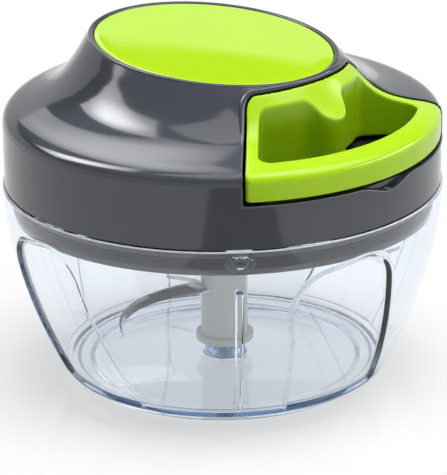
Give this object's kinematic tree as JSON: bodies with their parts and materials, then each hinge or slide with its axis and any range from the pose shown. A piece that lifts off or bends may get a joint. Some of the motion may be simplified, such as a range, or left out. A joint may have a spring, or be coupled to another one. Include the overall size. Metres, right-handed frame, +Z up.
{
  "type": "pull-string food chopper",
  "caption": "Hand-pulled food chopper: clear bowl with a sickle-blade shaft under a round lid that holds a cord reel and a pull handle.",
  "frame": {"origin": "centre of the bowl's foot, on the table", "axes": "+Z up along the blade shaft; the handle pulls toward -Y"},
  "size_m": [0.13, 0.13, 0.1031],
  "materials": {
    "clear_plastic": "clear, polished",
    "lid_plastic": "gloss",
    "green_plastic": "gloss",
    "frame_plastic": "satin",
    "reel_plastic": "satin",
    "bearing_plastic": "satin",
    "silicone": "matt",
    "steel": "ground",
    "blade_steel": "polished",
    "spring_steel": "blued",
    "bush_brass": "sintered",
    "cord_fibre": "braided"
  },
  "bodies": {
    "bowl": {"bowl": "clear_plastic", "bowl_pin": "steel"},
    "lid": {"lid_base": "lid_plastic", "lid_gasket": "silicone", "top_cover": "lid_plastic", "top_plate": "green_plastic", "reel_frame": "frame_plastic", "frame_screws": "steel", "cord_eyelet": "steel", "axle_pin": "steel", "axle_clip": "steel", "hub_bush": "bearing_plastic", "pull_cord": "cord_fibre", "recoil_spring": "spring_steel"},
    "handle": {"pull_handle": "green_plastic", "cord_stop": "steel"},
    "drum": {"cord_drum": "reel_plastic", "pawl_pins": "steel"},
    "pawl_a": {"pawl_a": "steel"},
    "pawl_b": {"pawl_b": "steel"},
    "hub": {"drive_hub": "reel_plastic", "hub_clip": "steel"},
    "blades": {"blade_shaft": "reel_plastic", "shaft_bush": "bush_brass", "blade_low": "blade_steel", "blade_mid": "blade_steel", "blade_top": "blade_steel"}
  },
  "joints": [
    {"name": "lid_lift", "type": "slide", "parent": "bowl", "child": "lid", "axis": [0, 0, 1], "range_m": [0, 0.09]},
    {"name": "handle_pull", "type": "slide", "parent": "lid", "child": "handle", "axis": [0, -1, 0], "range_m": [0, 0.35], "stiffness_N_per_m": 12, "springref_m": -0.25, "deforming": ["pull_cord", "recoil_spring"]},
    {"name": "drum_spin", "type": "hinge", "parent": "lid", "child": "drum", "pos_m": [0, 0, 0.08], "axis": [0, 0, 1], "range_deg": [0, 1050]},
    {"name": "hub_spin", "type": "hinge", "parent": "lid", "child": "hub", "pos_m": [0, 0, 0.065], "axis": [0, 0, 1], "range_deg": [0, 1050]},
    {"name": "blade_spin", "type": "hinge", "parent": "bowl", "child": "blades", "pos_m": [0, 0, 0.03], "axis": [0, 0, 1], "range_deg": [0, 1050]},
    {"name": "pawl_a_swing", "type": "hinge", "parent": "drum", "child": "pawl_a", "pos_m": [0.015, 0, 0.07], "axis": [0, 0, -1], "range_deg": [0, 14]},
    {"name": "pawl_b_swing", "type": "hinge", "parent": "drum", "child": "pawl_b", "pos_m": [-0.015, 0, 0.07], "axis": [0, 0, -1], "range_deg": [0, 14]}
  ],
  "couplings": [
    {"joint": "drum_spin", "follows": "handle_pull", "rad_per_m": 52.083},
    {"joint": "hub_spin", "follows": "handle_pull", "rad_per_m": 52.083},
    {"joint": "blade_spin", "follows": "handle_pull", "rad_per_m": 52.083}
  ]
}
